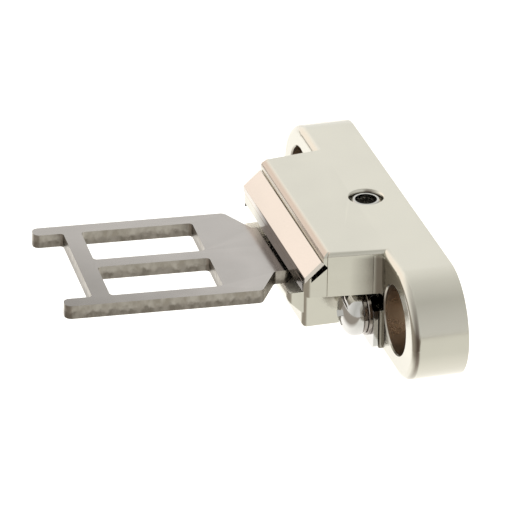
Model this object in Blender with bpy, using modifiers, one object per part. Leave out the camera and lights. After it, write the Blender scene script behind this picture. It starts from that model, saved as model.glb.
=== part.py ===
"""Adjustable actuator key of a guard-door safety switch.

A die-cast housing is screwed to the door by its two ears.  A forked steel key
sticks out under the housing's hood.  The key swivels on a vertical pin in a
holder, and the holder tilts on a cross pin in a bracket.  A socket set screw in
the top of the housing sets the tilt against two springs, and two more set
screws under the holder lock the swivel.

Frame: the origin is the middle of the housing's rear mounting face, +X points
into the door, the key points along -X, and +Z is up.  The "near" side is -Y.
Lengths below are millimetres; MM turns them into Blender's metres.
"""
import math

import bmesh
import bpy
from mathutils import Matrix, Vector

MM = 0.001
GAP = 0.3               # clearance between pieces that rest on each other

# Housing bar with its two ears
BAR_LENGTH = 62.0
BAR_HEIGHT = 15.6
BAR_THICKNESS = 8.0
EAR_TOP_RADIUS = 8.5
EAR_BOTTOM_RADIUS = 7.0
BAR_EDGE_ROUND = 0.8
MOUNT_PITCH = 45.0
COUNTERBORE_RADIUS = 4.9
COUNTERBORE_SEAT_X = -2.8
CLEARANCE_HOLE_RADIUS = 3.1

# Hood in front of the bar's upper half
HOOD_FRONT_TOP_X = -16.1
HOOD_FRONT_X = -18.8
HOOD_BOTTOM_Z = 1.1
HOOD_HALF_WIDTH = 15.4          # at the front top edge
HOOD_TAPER = 0.115              # widening towards the bar, per side
HOOD_STEP_X = -15.6             # the wedge in front is a little narrower
HOOD_STEP = 0.2
HOOD_ROOF_Z = 5.6
HOOD_WALL_X = -17.6             # inside of the front wall
HOOD_INNER_HALF_WIDTH = 13.6
HOOD_EDGE_ROUND = 0.6
HOOD_CORNER_ROUND = 0.8         # the two upright front corners
KEY_NOTCH_HALF_WIDTH = 14.4
KEY_NOTCH_TOP_Z = 1.8

# Front plate that lies on the sloping front of the hood
PLATE_BOTTOM_Z = 4.1            # lower edge of its top surface, level with the hood's front
PLATE_SLOPE = math.radians(42.5)
PLATE_SLOPE_LENGTH = 3.35
PLATE_THICKNESS = 0.65
PLATE_HALF_LENGTH = 14.8
SEAT_DEPTH = 1.2                # hood surface under the plate, measured from the plate's top
SEAT_LIP = 1.0                  # raised strip of the seat at the front

# Key blank, measured from the swivel axis towards the fork tips
KEY_THICKNESS = 2.0
KEY_HALF_WIDTH = 12.1
KEY_RAIL_WIDTH = 2.3
KEY_MIDDLE_RAIL_WIDTH = 2.3
KEY_FORK_TIP = 37.6
KEY_CROSSBAR_FRONT = 33.3
KEY_CROSSBAR_WIDTH = 2.55
KEY_WINDOW_ROOT = 14.7
KEY_SHOULDER_OUTER = 9.6
KEY_SHOULDER_INNER = 6.7
KEY_NECK_HALF_WIDTH = 6.85
KEY_SHANK_START = 3.3
KEY_SHANK_HALF_WIDTH = 4.8
KEY_REAR = -3.7
KEY_TOP_Z = 1.17                # top face at the swivel axis
KEY_YAW = math.radians(3.1)     # rest pose: tips towards +Y
KEY_PITCH = math.radians(0.97)  # rest pose: tips up

# Swivel pin, clip and lock screws
SWIVEL_X = -13.5
SWIVEL_PIN_RADIUS = 1.2
SWIVEL_HOLE_RADIUS = 1.5
SWIVEL_HEAD_RADIUS = 2.1
SWIVEL_RECESS_RADIUS = 2.6
SWIVEL_RECESS_Z = -5.65
LOCK_SCREW_X = -14.5
LOCK_SCREW_Y = 4.6
LOCK_SCREW_RADIUS = 1.25
LOCK_HOLE_RADIUS = 1.55
LOCK_SCREW_BOTTOM_Z = -5.2

# Key holder
HOLDER_HALF_WIDTH = 9.1
HOLDER_NOSE_HALF_WIDTH = 8.85
HOLDER_CORNER_ROUND = 0.8
HOLDER_TOP_Z = -1.15
HOLDER_BOTTOM_Z = -6.7
HOLDER_NOSE_X = -19.3
HOLDER_FRONT_X = -17.15
HOLDER_REAR_X = -10.6
HOLDER_NOSE_FAR_Y = 13.5
TAIL_HALF_WIDTH = 4.2
TAIL_REAR_X = -3.0
TAIL_TOP_Z = -1.5

# Tilt pin, bracket, tilt screw and springs
TILT_X = -10.2
TILT_Z = -3.6
TILT_PIN_RADIUS = 0.75
TILT_HOLE_RADIUS = 1.05
BRACKET_FRONT_X = -9.25
BRACKET_REAR_X = -8.65
BRACKET_HALF_LENGTH = 17.0
BRACKET_TOP_Z = -1.3
BRACKET_BOTTOM_Z = -7.3
BRACKET_SLOT_Z = -5.6           # floor of the open slot for the holder's tail
PAD_FRONT_X = -8.35             # raised pad of the bar behind the bracket
RELIEF_REAR_X = -5.6            # pocket in the bar above the bracket
RELIEF_HALF_WIDTH = 17.05
EAR_INNER_Y = 5.9
EAR_OUTER_Y = 6.5
EAR_RADIUS = 1.75
TILT_SCREW_X = -5.25
TILT_SCREW_RADIUS = 2.2
TILT_SCREW_LENGTH = 8.65
TILT_SCREW_RECESS = 0.35
TILT_THREAD_RADIUS = 2.5
SPRING_X = -12.5
SPRING_Y = 7.2
SPRING_COIL_RADIUS = 1.2
SPRING_WIRE_RADIUS = 0.22
SPRING_TURNS = 6

# Pan-head screws that clamp the bracket, with their washers
CLAMP_Y = 13.4
CLAMP_Z = -2.8
CLAMP_SHANK_RADIUS = 2.0
CLAMP_HOLE_RADIUS = 2.3
CLAMP_HEAD_RADIUS = 3.45
CLAMP_HEAD_HEIGHT = 2.4
CLAMP_END_X = -2.6
FLAT_WASHER = (9.5, 9.9, 3.5)       # rear x, front x (both negative), radius
SPRING_WASHER = (10.15, 10.65, 3.2)
WASHER_BORE_RADIUS = 2.25

ROUND_SEGMENTS = 32


# ---------------------------------------------------------------- helpers
def clear_scene():
    for obj in list(bpy.data.objects):
        bpy.data.objects.remove(obj, do_unlink=True)


def new_collection(name):
    collection = bpy.data.collections.new(name)
    bpy.context.scene.collection.children.link(collection)
    return collection


def make_material(name, colour, roughness, metallic):
    material = bpy.data.materials.new(name)
    material.use_nodes = True
    shader = material.node_tree.nodes["Principled BSDF"]
    shader.inputs["Base Color"].default_value = (*colour, 1.0)
    shader.inputs["Roughness"].default_value = roughness
    shader.inputs["Metallic"].default_value = metallic
    return material


def mesh_object(name, mesh, collection):
    obj = bpy.data.objects.new(name, mesh)
    collection.objects.link(obj)
    return obj


def from_bmesh(name, bm, collection):
    mesh = bpy.data.meshes.new(name)
    bm.to_mesh(mesh)
    bm.free()
    return mesh_object(name, mesh, collection)


def rounded_outline(corners, segments=6):
    """Closed outline through corners (a, b, radius), each one rounded by an arc."""
    points = []
    for index, (a, b, radius) in enumerate(corners):
        corner = Vector((a, b))
        if radius <= 0:
            points.append(tuple(corner))
            continue
        back = (Vector(corners[index - 1][:2]) - corner).normalized()
        ahead = (Vector(corners[(index + 1) % len(corners)][:2]) - corner).normalized()
        half = back.angle(ahead) / 2
        centre = corner + (back + ahead).normalized() * (radius / math.sin(half))
        setback = radius / math.tan(half)
        first = corner + back * setback - centre
        last = corner + ahead * setback - centre
        start = math.atan2(first.y, first.x)
        sweep = math.atan2(last.y, last.x) - start
        sweep = (sweep + math.pi) % (2 * math.pi) - math.pi
        for step in range(segments + 1):
            angle = start + sweep * step / segments
            points.append((centre.x + radius * math.cos(angle), centre.y + radius * math.sin(angle)))
    return points


def circle_outline(a, b, radius, segments=ROUND_SEGMENTS):
    turn = 2 * math.pi / segments
    return [(a + radius * math.cos(turn * i), b + radius * math.sin(turn * i)) for i in range(segments)]


# An outline's own axes, and the extrusion axis, in world axes
OUTLINE_AXES = {
    "X": ((0, 1, 0), (0, 0, 1), (1, 0, 0)),
    "Y": ((1, 0, 0), (0, 0, 1), (0, -1, 0)),
    "Z": ((1, 0, 0), (0, 1, 0), (0, 0, 1)),
}


def outline_solid(name, outlines, axis, low, high, collection):
    """Extrude flat outlines (the first outside, the others holes) from low to high."""
    curve = bpy.data.curves.new(name, "CURVE")
    curve.dimensions = "2D"
    curve.fill_mode = "BOTH"
    curve.extrude = (high - low) / 2 * MM
    for outline in outlines:
        spline = curve.splines.new("POLY")
        spline.points.add(len(outline) - 1)
        for point, (a, b) in zip(spline.points, outline):
            point.co = (a * MM, b * MM, 0, 1)
        spline.use_cyclic_u = True
    flat = bpy.data.objects.new(name, curve)
    collection.objects.link(flat)
    evaluated = flat.evaluated_get(bpy.context.evaluated_depsgraph_get())
    mesh = bpy.data.meshes.new_from_object(evaluated)
    bpy.data.objects.remove(flat, do_unlink=True)
    mesh.name = name
    across, up, along = (Vector(v) for v in OUTLINE_AXES[axis])
    turn = Matrix((across, up, along)).transposed().to_4x4()
    middle = (low + high) / 2 * MM * (-1 if axis == "Y" else 1)
    bm = bmesh.new()
    bm.from_mesh(mesh)
    bmesh.ops.remove_doubles(bm, verts=bm.verts, dist=0.000001)
    bmesh.ops.transform(bm, matrix=turn @ Matrix.Translation((0, 0, middle)), verts=bm.verts)
    bmesh.ops.recalc_face_normals(bm, faces=bm.faces)
    bm.to_mesh(mesh)
    bm.free()
    return mesh_object(name, mesh, collection)


def box(name, low, high, collection):
    bm = bmesh.new()
    bmesh.ops.create_cube(bm, size=1.0)
    for vert in bm.verts:
        for i in range(3):
            vert.co[i] = (low[i] if vert.co[i] < 0 else high[i]) * MM
    return from_bmesh(name, bm, collection)


def cylinder(name, radius, start, end, collection, segments=ROUND_SEGMENTS):
    """Straight cylinder from point start to point end."""
    start, end = Vector(start) * MM, Vector(end) * MM
    bm = bmesh.new()
    bmesh.ops.create_cone(bm, cap_ends=True, segments=segments, radius1=radius * MM,
                          radius2=radius * MM, depth=(end - start).length)
    turn = (end - start).to_track_quat("Z", "Y").to_matrix().to_4x4()
    bmesh.ops.transform(bm, matrix=Matrix.Translation((start + end) / 2) @ turn, verts=bm.verts)
    return from_bmesh(name, bm, collection)


def turned(name, profile, origin, direction, collection, segments=ROUND_SEGMENTS):
    """Turn a profile of (radius, height), listed from top to bottom, about an axis."""
    bm = bmesh.new()
    verts = [bm.verts.new((radius * MM, 0, height * MM)) for radius, height in profile]
    pairs = list(zip(verts, verts[1:]))
    if profile[0][0] > 0:
        pairs.append((verts[-1], verts[0]))
    for pair in pairs:
        bm.edges.new(pair)
    obj = from_bmesh(name, bm, collection)
    obj.location = Vector(origin) * MM
    obj.rotation_euler = Vector(direction).to_track_quat("Z", "Y").to_euler()
    screw = obj.modifiers.new("Turn", "SCREW")
    screw.axis = "Z"
    screw.steps = segments
    screw.render_steps = segments
    screw.use_merge_vertices = True
    screw.merge_threshold = 0.00001
    screw.use_normal_calculate = False
    return obj


def boolean(obj, other, operation):
    modifier = obj.modifiers.new(operation.title(), "BOOLEAN")
    modifier.operation = operation
    modifier.object = other
    modifier.solver = "EXACT"


def cut(obj, *cutters):
    for cutter in cutters:
        boolean(obj, cutter, "DIFFERENCE")


def join(obj, *others):
    for other in others:
        boolean(obj, other, "UNION")


def tapered_prism(name, profile, inset, collection):
    """Solid with an (x, z) profile whose two sides follow the hood's tapered plan."""
    bm = bmesh.new()
    rings = []
    for side in (-1, 1):
        ring = [bm.verts.new((x * MM, side * (hood_half_width(x) - inset) * MM, z * MM)) for x, z in profile]
        bm.faces.new(ring)
        rings.append(ring)
    count = len(profile)
    for i in range(count):
        j = (i + 1) % count
        bm.faces.new((rings[0][i], rings[0][j], rings[1][j], rings[1][i]))
    bmesh.ops.recalc_face_normals(bm, faces=bm.faces)
    return from_bmesh(name, bm, collection)


def bevel(obj, width, segments=2, share=None):
    """Round all sharp edges, or each edge by the share of the width that its two ends give."""
    modifier = obj.modifiers.new("Bevel", "BEVEL")
    modifier.width = width * MM
    modifier.segments = segments
    modifier.limit_method = "ANGLE"
    modifier.angle_limit = math.radians(35)
    if share:
        modifier.limit_method = "WEIGHT"
        mesh = obj.data
        weights = mesh.attributes.new("bevel_weight_edge", "FLOAT", "EDGE")
        for edge in mesh.edges:
            start, end = (mesh.vertices[index].co / MM for index in edge.vertices)
            weights.data[edge.index].value = share(start, end)


def smooth(obj):
    obj.data.shade_smooth()
    if obj.data.polygons:
        obj.data.set_sharp_from_angle(angle=math.radians(35))


# ---------------------------------------------------------------- geometry shared by pieces
SLOPE_ALONG = Vector((math.cos(PLATE_SLOPE), math.sin(PLATE_SLOPE)))    # up the slope, in X and Z
SLOPE_OUT = Vector((-math.sin(PLATE_SLOPE), math.cos(PLATE_SLOPE)))     # away from the hood
PLATE_FOOT = Vector((HOOD_FRONT_X, PLATE_BOTTOM_Z))
PLATE_TOP = PLATE_FOOT + SLOPE_ALONG * PLATE_SLOPE_LENGTH


def slope_point_at(x, depth):
    """Point at x on the line that lies depth under the front plate's top surface."""
    start = PLATE_FOOT - SLOPE_OUT * depth
    return Vector((x, start.y + (x - start.x) * math.tan(PLATE_SLOPE)))


def hood_half_width(x):
    return HOOD_HALF_WIDTH + HOOD_TAPER * (x - HOOD_FRONT_TOP_X)


# ---------------------------------------------------------------- pieces
def make_housing(parts, cutters):
    top = BAR_HEIGHT / 2
    half = BAR_LENGTH / 2
    outline = rounded_outline([
        (-half, -top, EAR_BOTTOM_RADIUS), (half, -top, EAR_BOTTOM_RADIUS),
        (half, top, EAR_TOP_RADIUS), (-half, top, EAR_TOP_RADIUS)], segments=10)
    housing = outline_solid("housing", [outline], "X", -BAR_THICKNESS, 0, parts)
    front = 0.01 - BAR_THICKNESS
    bevel(housing, BAR_EDGE_ROUND, share=lambda a, b: float(a.x < front and b.x < front))

    # Hood: a block, and a slightly narrower wedge in front of it that carries the front plate
    root_x = -6.0
    upper = top - 0.01

    def on_top(a, b):
        return float(a.z > upper and b.z > upper)

    def wedge_share(a, b):
        upright = abs(a.x - b.x) < 0.01 and abs(a.y - b.y) < 0.01
        if upright and a.x < HOOD_FRONT_X + 0.01:
            return 1.0
        return on_top(a, b) * 0.5

    block = tapered_prism("hood_block", [
        (root_x, top), (HOOD_STEP_X, top), (HOOD_STEP_X, HOOD_BOTTOM_Z), (root_x, HOOD_BOTTOM_Z)],
        0, cutters)
    bevel(block, HOOD_EDGE_ROUND, share=on_top)
    seat_top = PLATE_TOP + SLOPE_ALONG * GAP - SLOPE_OUT * SEAT_DEPTH
    lip_rise = (seat_top.x - HOOD_FRONT_TOP_X) / math.tan(PLATE_SLOPE)
    lip_depth = PLATE_THICKNESS + GAP
    wedge = tapered_prism("hood_wedge", [
        (HOOD_STEP_X + 2, top), (HOOD_FRONT_TOP_X, top), (HOOD_FRONT_TOP_X, seat_top.y + lip_rise),
        tuple(seat_top), tuple(slope_point_at(HOOD_FRONT_X + SEAT_LIP, SEAT_DEPTH)),
        tuple(slope_point_at(HOOD_FRONT_X + SEAT_LIP, lip_depth)),
        tuple(slope_point_at(HOOD_FRONT_X, lip_depth)),
        (HOOD_FRONT_X, HOOD_BOTTOM_Z), (HOOD_STEP_X + 2, HOOD_BOTTOM_Z)],
        HOOD_STEP, cutters)
    bevel(wedge, HOOD_CORNER_ROUND, share=wedge_share)
    join(block, wedge)

    # Space under the hood, and the notch for the key in its front wall
    inner = HOOD_INNER_HALF_WIDTH
    below = -0.4
    rear_x = -BAR_THICKNESS + 0.1
    space = [(rear_x, below), (rear_x, HOOD_ROOF_Z), (-14.0, HOOD_ROOF_Z),
             (HOOD_WALL_X, 2.3), (HOOD_WALL_X, below)]
    notch_y = KEY_NOTCH_HALF_WIDTH
    cut(block,
        outline_solid("hood_space", [space], "Y", -inner, inner, cutters),
        box("key_notch", (-19, -notch_y, below), (HOOD_WALL_X + 0.1, notch_y, KEY_NOTCH_TOP_Z), cutters))
    pad_half = BRACKET_HALF_LENGTH
    pad = box("bracket_pad", (PAD_FRONT_X, -pad_half, BRACKET_BOTTOM_Z),
              (-BAR_THICKNESS + 1, pad_half, BRACKET_TOP_Z), cutters)
    join(housing, block, pad)

    # Relief above the bracket, pocket for the holder's tail, and the screw holes
    relief = RELIEF_HALF_WIDTH
    cut(housing,
        box("bracket_relief", (-8.5, -relief, BRACKET_TOP_Z + 0.1), (RELIEF_REAR_X, relief, 1.25), cutters),
        box("tail_pocket", (-9, -4.7, -4.8), (-2.2, 4.7, 0.6), cutters),
        cylinder("tilt_screw_bore", TILT_THREAD_RADIUS, (TILT_SCREW_X, 0, 0.2),
                 (TILT_SCREW_X, 0, 9), cutters))
    for side in (-1, 1):
        y = side * MOUNT_PITCH / 2
        clamp_y = side * CLAMP_Y
        cut(housing,
            cylinder("counterbore", COUNTERBORE_RADIUS, (-9, y, 0), (COUNTERBORE_SEAT_X, y, 0),
                     cutters, segments=48),
            cylinder("clearance_hole", CLEARANCE_HOLE_RADIUS, (-4, y, 0), (1, y, 0), cutters),
            cylinder("clamp_bore", CLAMP_HOLE_RADIUS, (-9, clamp_y, CLAMP_Z),
                     (CLAMP_END_X + 0.5, clamp_y, CLAMP_Z), cutters))
    return housing


def make_front_plate(parts):
    profile = rounded_outline([
        (*PLATE_TOP, 0.25), (*PLATE_FOOT, 0.2),
        (*slope_point_at(HOOD_FRONT_X, PLATE_THICKNESS), 0), (*(PLATE_TOP - SLOPE_OUT * PLATE_THICKNESS), 0)],
        segments=3)
    half = PLATE_HALF_LENGTH
    plate = outline_solid("front_plate", [profile], "Y", -half, half, parts)
    return plate


def make_key(parts):
    """Flat blank about the swivel axis at its mid-thickness, fork tips along -X."""
    wide = KEY_HALF_WIDTH
    rail = wide - KEY_RAIL_WIDTH
    neck = KEY_NECK_HALF_WIDTH
    shank = KEY_SHANK_HALF_WIDTH
    half = [
        (KEY_REAR, shank, 2.4), (KEY_SHANK_START, shank, 0.8), (KEY_SHANK_START + 1.6, neck, 0.8),
        (KEY_SHOULDER_INNER, neck, 0.6), (KEY_SHOULDER_OUTER, wide, 0.9),
        (KEY_FORK_TIP, wide, 1.0), (KEY_FORK_TIP, rail, 0.9), (KEY_CROSSBAR_FRONT, rail, 0.5)]
    outline = [(-s, y, r) for s, y, r in half] + [(-s, -y, r) for s, y, r in reversed(half)]
    outlines = [rounded_outline(outline, segments=4)]
    window_tip = KEY_CROSSBAR_FRONT - KEY_CROSSBAR_WIDTH
    for side in (-1, 1):
        inner, outer = side * KEY_MIDDLE_RAIL_WIDTH / 2, side * rail
        outlines.append(rounded_outline([
            (-KEY_WINDOW_ROOT, inner, 0.6), (-KEY_WINDOW_ROOT, outer, 0.6),
            (-window_tip, outer, 0.6), (-window_tip, inner, 0.6)], segments=4))
    outlines.append(circle_outline(0, 0, SWIVEL_HOLE_RADIUS))
    half_thick = KEY_THICKNESS / 2
    key = outline_solid("key_plate", outlines, "Z", -half_thick, half_thick, parts)
    key.location = Vector((SWIVEL_X, 0, KEY_TOP_Z - half_thick)) * MM
    key.rotation_euler = (0, KEY_PITCH, -KEY_YAW)
    return key


def make_holder(parts, cutters):
    width, nose_width = HOLDER_HALF_WIDTH, HOLDER_NOSE_HALF_WIDTH
    top, bottom = HOLDER_TOP_Z, HOLDER_BOTTOM_Z
    nose, front, rear = HOLDER_NOSE_X, HOLDER_FRONT_X, HOLDER_REAR_X
    slant_top, slant_bottom = -2.4, -4.55

    def corner_share(a, b):
        """Full rounding on the upright front corners, less on the other front edges."""
        if abs(a.x - b.x) > 0.01 or a.x > front + 0.01:
            return 0.0
        return 1.0 if abs(a.y - b.y) < 0.01 else 0.5

    def nose_share(a, b):
        return corner_share(a, b) if max(a.x, b.x) < nose + 0.01 else 0.0

    body = [(front, top), (front, bottom), (rear, bottom), (rear, top)]
    holder = outline_solid("key_holder", [body], "Y", -width, width, parts)
    bevel(holder, HOLDER_CORNER_ROUND, segments=3, share=corner_share)
    nose_root = front + 1
    nose_profile = [(nose, top), (nose, slant_top), (front, slant_bottom), (nose_root, slant_bottom),
                    (nose_root, top)]
    nose_body = outline_solid("nose_body", [nose_profile], "Y", -nose_width, nose_width, cutters)
    bevel(nose_body, HOLDER_CORNER_ROUND, segments=3, share=nose_share)

    nose_depth = 1.9
    ledge_front = nose + 0.06
    ledge = [(ledge_front, top), (ledge_front, slant_top), (ledge_front + nose_depth, slant_top - nose_depth),
             (nose_root, slant_top - nose_depth), (nose_root, top)]
    ledge_body = outline_solid("nose_ledge", [ledge], "Y", nose_width - 2, HOLDER_NOSE_FAR_Y, cutters)
    bevel(ledge_body, HOLDER_CORNER_ROUND, segments=3, share=nose_share)
    tail_bottom, tail_front = -3.9, -8.4
    tail = [(rear - 1, top), (rear - 1, bottom + 0.9), (-9.9, bottom + 0.9), (tail_front, -4.2),
            (-7.6, tail_bottom), (TAIL_REAR_X, tail_bottom), (TAIL_REAR_X, TAIL_TOP_Z),
            (-7.4, TAIL_TOP_Z), (-8.2, top)]
    tail_body = outline_solid("tail_body", [tail], "Y", -TAIL_HALF_WIDTH, TAIL_HALF_WIDTH, cutters)
    join(holder, nose_body, ledge_body, tail_body)

    slot_front, slot_floor = -12.55, -5.9
    for side in (-1, 1):
        near, far = sorted((side * (EAR_INNER_Y - 0.4), side * (EAR_OUTER_Y + 0.4)))
        lock_y = side * LOCK_SCREW_Y
        cut(holder,
            box("ear_slot", (slot_front, near, slot_floor), (rear + 0.5, far, 0), cutters),
            cylinder("lock_bore", LOCK_HOLE_RADIUS, (LOCK_SCREW_X, lock_y, -8),
                     (LOCK_SCREW_X, lock_y, 0), cutters, segments=24))
    cut(holder,
        cylinder("swivel_bore", SWIVEL_HOLE_RADIUS, (SWIVEL_X, 0, -8), (SWIVEL_X, 0, 0), cutters),
        cylinder("clip_recess", SWIVEL_RECESS_RADIUS, (SWIVEL_X, 0, -8), (SWIVEL_X, 0, SWIVEL_RECESS_Z), cutters),
        cylinder("tilt_bore", TILT_HOLE_RADIUS, (TILT_X, -6, TILT_Z), (TILT_X, 6, TILT_Z), cutters))
    return holder


def make_bracket(parts, cutters):
    top, bottom = BRACKET_TOP_Z, BRACKET_BOTTOM_Z
    half = BRACKET_HALF_LENGTH
    slot = 4.8
    arc = [math.radians(180 + 15 * step) for step in range(13)]
    hook = [(CLAMP_Y + CLAMP_HOLE_RADIUS * math.cos(a), CLAMP_Z + CLAMP_HOLE_RADIUS * math.sin(a)) for a in arc]
    right = [(slot, BRACKET_SLOT_Z), (slot, top), (hook[0][0], top), *hook, (hook[-1][0], top),
             (half, top), (half, bottom + 0.6), (half - 0.6, bottom)]
    outline = right + [(-y, z) for y, z in reversed(right)]
    bracket = outline_solid("bracket", [outline], "X", BRACKET_FRONT_X, BRACKET_REAR_X, parts)
    ear = []
    for step in range(13):
        angle = math.radians(90 + 15 * step)
        ear.append((TILT_X + EAR_RADIUS * math.cos(angle), TILT_Z + EAR_RADIUS * math.sin(angle)))
    ear += [(BRACKET_FRONT_X + 0.3, TILT_Z - EAR_RADIUS), (BRACKET_FRONT_X + 0.3, TILT_Z + EAR_RADIUS)]
    for side in (-1, 1):
        low, high = sorted((side * EAR_INNER_Y, side * EAR_OUTER_Y))
        eye = circle_outline(TILT_X, TILT_Z, TILT_HOLE_RADIUS - 0.05, segments=24)
        join(bracket, outline_solid("ear", [ear, eye], "Y", low, high, cutters))
    return bracket


def make_socket_screw(name, radius, length, socket_radius, top, down, parts, cutters):
    """Set screw with a hexagon socket in the end at point top; down points to its tip."""
    chamfer = 0.3
    screw = turned(name, [(0, 0), (radius - chamfer, 0), (radius, -chamfer),
                          (radius, chamfer - length), (radius - 2 * chamfer, -length), (0, -length)],
                   top, [-c for c in down], parts, segments=24)
    top, down = Vector(top), Vector(down)
    cut(screw, cylinder(name + "_socket", socket_radius, top - down, top + down * length * 0.4,
                        cutters, segments=6))
    return screw


def make_clamp_screw(name, side, parts, cutters):
    """Cross-recess pan-head screw along X with a raised head towards -X."""
    radius, height = CLAMP_HEAD_RADIUS, CLAMP_HEAD_HEIGHT
    washer_front = -SPRING_WASHER[1]
    head_under = washer_front - 0.2
    end = head_under - CLAMP_END_X              # end of the shank, below the head
    profile = [(0, height)]
    for step in range(1, 7):
        angle = math.radians(15 * step)
        profile.append((radius * math.sin(angle), height * (0.45 + 0.55 * math.cos(angle))))
    profile += [(radius, 0), (CLAMP_SHANK_RADIUS, 0), (CLAMP_SHANK_RADIUS, end + 0.5),
                (CLAMP_SHANK_RADIUS - 0.5, end), (0, end)]
    origin = (head_under, side * CLAMP_Y, CLAMP_Z)
    screw = turned(name, profile, origin, (-1, 0, 0), parts)
    tip_x = head_under - height
    for wide, tall in ((3.2, 0.8), (0.8, 3.2)):
        y, z = side * CLAMP_Y, CLAMP_Z
        cut(screw, box(name + "_recess", (tip_x - 1, y - wide / 2, z - tall / 2),
                       (tip_x + 1.3, y + wide / 2, z + tall / 2), cutters))
    return screw


def make_washer(name, side, sizes, parts, cutters, split=False):
    rear, front, radius = sizes
    washer = turned(name, [(radius, front), (radius, rear), (WASHER_BORE_RADIUS, rear),
                           (WASHER_BORE_RADIUS, front)],
                    (0, side * CLAMP_Y, CLAMP_Z), (-1, 0, 0), parts)
    if split:
        y = side * CLAMP_Y
        cut(washer, box(name + "_split", (-front - 1, y - 0.25, CLAMP_Z), (1 - rear, y + 0.25, CLAMP_Z + 5),
                        cutters))
    return washer


def make_swivel_pieces(parts, cutters):
    washer_low, washer_high = 1.45, 1.8
    head_low, head_high = 1.95, 2.5
    pin_end, groove_low, groove_high = -6.5, -6.3, -5.8
    pin, head, groove = SWIVEL_PIN_RADIUS, SWIVEL_HEAD_RADIUS, 0.85
    swivel_pin = turned("swivel_pin", [
        (0, head_high), (head - 0.2, head_high), (head, head_high - 0.2), (head, head_low),
        (pin, head_low), (pin, groove_high), (groove, groove_high), (groove, groove_low),
        (pin, groove_low), (pin, pin_end), (0, pin_end)],
        (SWIVEL_X, 0, 0), (0, 0, 1), parts)
    washer = turned("swivel_washer", [
        (head, washer_high), (head, washer_low), (SWIVEL_HOLE_RADIUS, washer_low),
        (SWIVEL_HOLE_RADIUS, washer_high)], (SWIVEL_X, 0, 0), (0, 0, 1), parts)
    clip_low, clip_high = groove_low + 0.1, groove_high - 0.1
    clip = turned("swivel_clip", [
        (2.0, clip_high), (2.0, clip_low), (groove + 0.2, clip_low), (groove + 0.2, clip_high)],
        (SWIVEL_X, 0, 0), (0, 0, 1), parts)
    opening = groove + 0.1
    cut(clip, box("clip_opening", (SWIVEL_X - opening, -4, -8), (SWIVEL_X + opening, 0, -4), cutters))
    return swivel_pin, washer, clip


def make_spring(name, side, parts):
    low, high = HOLDER_TOP_Z + GAP, HOOD_ROOF_Z - GAP
    per_turn = 12
    count = SPRING_TURNS * per_turn
    first = low + SPRING_WIRE_RADIUS
    rise = (high - low - 2 * SPRING_WIRE_RADIUS) / count
    curve = bpy.data.curves.new(name, "CURVE")
    curve.dimensions = "3D"
    curve.bevel_depth = SPRING_WIRE_RADIUS * MM
    curve.bevel_resolution = 2
    curve.use_fill_caps = True
    spline = curve.splines.new("POLY")
    spline.points.add(count)
    for index, point in enumerate(spline.points):
        angle = 2 * math.pi * index / per_turn
        point.co = (SPRING_COIL_RADIUS * math.cos(angle) * MM, SPRING_COIL_RADIUS * math.sin(angle) * MM,
                    (first + rise * index) * MM, 1)
    spring = bpy.data.objects.new(name, curve)
    parts.objects.link(spring)
    spring.location = Vector((SPRING_X, side * SPRING_Y, 0)) * MM
    return spring


def make_joint_empty(name, location, parts):
    empty = bpy.data.objects.new(name, None)
    parts.objects.link(empty)
    empty.location = Vector(location) * MM
    empty.empty_display_size = 0.004
    return empty


def attach(empty, *children):
    bpy.context.view_layer.update()
    for child in children:
        child.parent = empty
        child.matrix_parent_inverse = empty.matrix_world.inverted()


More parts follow.
